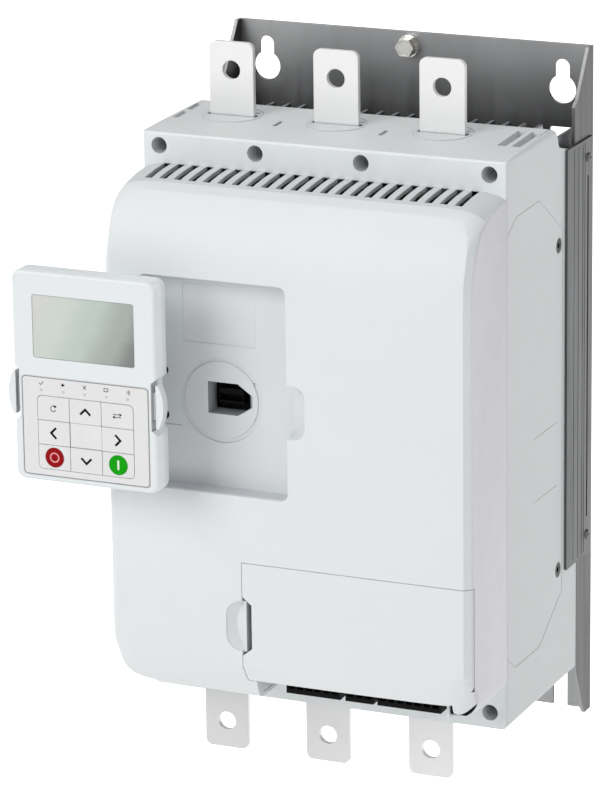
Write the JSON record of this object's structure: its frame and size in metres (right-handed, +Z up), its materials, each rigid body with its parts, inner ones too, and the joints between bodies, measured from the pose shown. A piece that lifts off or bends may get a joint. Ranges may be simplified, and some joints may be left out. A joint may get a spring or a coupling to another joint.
{
  "type": "motor soft starter",
  "caption": "Wall-mounted three-phase motor soft starter: sheet back plate, light moulded housing, busbar ends at top and bottom, terminal door and an unplugged keypad.",
  "frame": {"origin": "On the rear mounting face of the back plate, at the centre of the four wall fixings (keyholes and foot slots)", "axes": "+X to the right seen from the front, +Y from the front to the wall, +Z up"},
  "size_m": [0.2542, 0.2153, 0.3988],
  "materials": {
    "plate_steel": "brushed zinc-coated sheet steel",
    "shroud_steel": "zinc-coated sheet steel, pressed lines",
    "fastener_steel": "bright zinc plating",
    "black_fastener": "black oxide",
    "heatsink_aluminium": "plain extruded",
    "housing_plastic": "fine spark-eroded texture, light grey",
    "cover_plastic": "fine spark-eroded texture, warm white",
    "bush_plastic": "smooth light grey",
    "bar_tin": "tin-plated copper, satin with faint rolling lines",
    "module_plastic": "black glass-filled moulding",
    "contact_silver": "silver alloy pads",
    "copper": "copper winding and bridges",
    "black_plastic": "black moulding",
    "board_green": "solder-masked laminate",
    "board_blue": "solder-masked laminate",
    "ribbon_grey": "flat cable",
    "keypad_shell": "fine satin texture",
    "keypad_rear": "fine satin texture",
    "lens": "clear grey-green window",
    "display": "unlit liquid-crystal panel",
    "overlay": "light grey keypad membrane",
    "lamp_window": "unlit indicator",
    "key_grey": "satin key cap",
    "key_red": "red key cap",
    "key_green": "green key cap"
  },
  "bodies": {
    "base": {"back_plate": "plate_steel", "earth_bolt": "fastener_steel", "earth_washers": "fastener_steel", "heatsink": "heatsink_aluminium", "plate_screws": "fastener_steel", "side_shroud_right": "shroud_steel", "side_shroud_left": "shroud_steel", "shroud_screws": "black_fastener", "main_housing": "housing_plastic", "housing_screws": "fastener_steel", "side_screws": "black_fastener", "line_bushes": "bush_plastic", "load_bushes": "bush_plastic", "line_busbar_1": "bar_tin", "line_busbar_2": "bar_tin", "line_busbar_3": "bar_tin", "load_busbar_1": "bar_tin", "load_busbar_2": "bar_tin", "load_busbar_3": "bar_tin", "thyristor_module_1": "module_plastic", "thyristor_module_2": "module_plastic", "thyristor_module_3": "module_plastic", "module_bolts": "fastener_steel", "bypass_frame": "module_plastic", "bypass_coil": "copper", "bypass_contacts": "contact_silver", "current_transformers": "module_plastic", "fan_tray": "black_plastic", "front_cover": "cover_plastic", "bay_tray": "cover_plastic", "terminal_box": "cover_plastic", "terminal_blocks": "black_plastic", "terminal_screws": "fastener_steel", "control_board": "board_green", "control_parts": "black_plastic", "gate_board": "board_blue", "ribbon_cable": "ribbon_grey", "keypad_port": "black_plastic"},
    "door": {"terminal_door": "cover_plastic"},
    "bypass_carrier": {"bypass_bridge": "copper"},
    "fan_left": {"fan_rotor_left": "black_plastic"},
    "fan_right": {"fan_rotor_right": "black_plastic"},
    "keypad": {"keypad_front_shell": "keypad_shell", "keypad_rear_shell": "keypad_rear", "display_lens": "lens", "display_panel": "display", "keypad_overlay": "overlay", "led_windows": "lamp_window", "keypad_board": "board_green", "keypad_plug": "black_plastic"},
    "left_grip": {"grip_left": "keypad_rear"},
    "right_grip": {"grip_right": "keypad_rear"},
    "key_up_cap": {"key_up": "key_grey"},
    "key_down_cap": {"key_down": "key_grey"},
    "key_left_cap": {"key_left": "key_grey"},
    "key_right_cap": {"key_right": "key_grey"},
    "key_soft_left_cap": {"key_soft_left": "key_grey"},
    "key_soft_right_cap": {"key_soft_right": "key_grey"},
    "key_stop_cap": {"key_stop": "key_red"},
    "key_start_cap": {"key_start": "key_green"}
  },
  "joints": [
    {"name": "terminal_door_hinge", "type": "hinge", "parent": "base", "child": "door", "pos_m": [0.1, -0.178, -0.105], "axis": [0, 0, 1], "range_deg": [0, 105]},
    {"name": "bypass_close", "type": "slide", "parent": "base", "child": "bypass_carrier", "axis": [0, 1, 0], "range_m": [0, 0.0042], "stiffness_N_per_m": 2500, "springref_m": -0.004},
    {"name": "fan_left_spin", "type": "hinge", "parent": "base", "child": "fan_left", "pos_m": [-0.048, -0.0295, -0.15], "axis": [0, 0, 1], "continuous": true},
    {"name": "fan_right_spin", "type": "hinge", "parent": "base", "child": "fan_right", "pos_m": [0.048, -0.0295, -0.15], "axis": [0, 0, 1], "continuous": true},
    {"name": "keypad_carry", "type": "slide", "parent": "base", "child": "keypad", "axis": [0.9954, 0, -0.0955], "range_m": [-0.06, 0.05967]},
    {"name": "grip_left_squeeze", "type": "slide", "parent": "keypad", "child": "left_grip", "axis": [1, 0, 0], "range_m": [0, 0.0015], "stiffness_N_per_m": 2000},
    {"name": "grip_right_squeeze", "type": "slide", "parent": "keypad", "child": "right_grip", "axis": [-1, 0, 0], "range_m": [0, 0.0015], "stiffness_N_per_m": 2000},
    {"name": "key_up_press", "type": "slide", "parent": "keypad", "child": "key_up_cap", "axis": [0, 1, 0], "range_m": [0, 0.0005], "stiffness_N_per_m": 3000},
    {"name": "key_down_press", "type": "slide", "parent": "keypad", "child": "key_down_cap", "axis": [0, 1, 0], "range_m": [0, 0.0005], "stiffness_N_per_m": 3000},
    {"name": "key_left_press", "type": "slide", "parent": "keypad", "child": "key_left_cap", "axis": [0, 1, 0], "range_m": [0, 0.0005], "stiffness_N_per_m": 3000},
    {"name": "key_right_press", "type": "slide", "parent": "keypad", "child": "key_right_cap", "axis": [0, 1, 0], "range_m": [0, 0.0005], "stiffness_N_per_m": 3000},
    {"name": "key_soft_left_press", "type": "slide", "parent": "keypad", "child": "key_soft_left_cap", "axis": [0, 1, 0], "range_m": [0, 0.0005], "stiffness_N_per_m": 3000},
    {"name": "key_soft_right_press", "type": "slide", "parent": "keypad", "child": "key_soft_right_cap", "axis": [0, 1, 0], "range_m": [0, 0.0005], "stiffness_N_per_m": 3000},
    {"name": "key_stop_press", "type": "slide", "parent": "keypad", "child": "key_stop_cap", "axis": [0, 1, 0], "range_m": [0, 0.0005], "stiffness_N_per_m": 3000},
    {"name": "key_start_press", "type": "slide", "parent": "keypad", "child": "key_start_cap", "axis": [0, 1, 0], "range_m": [0, 0.0005], "stiffness_N_per_m": 3000}
  ]
}
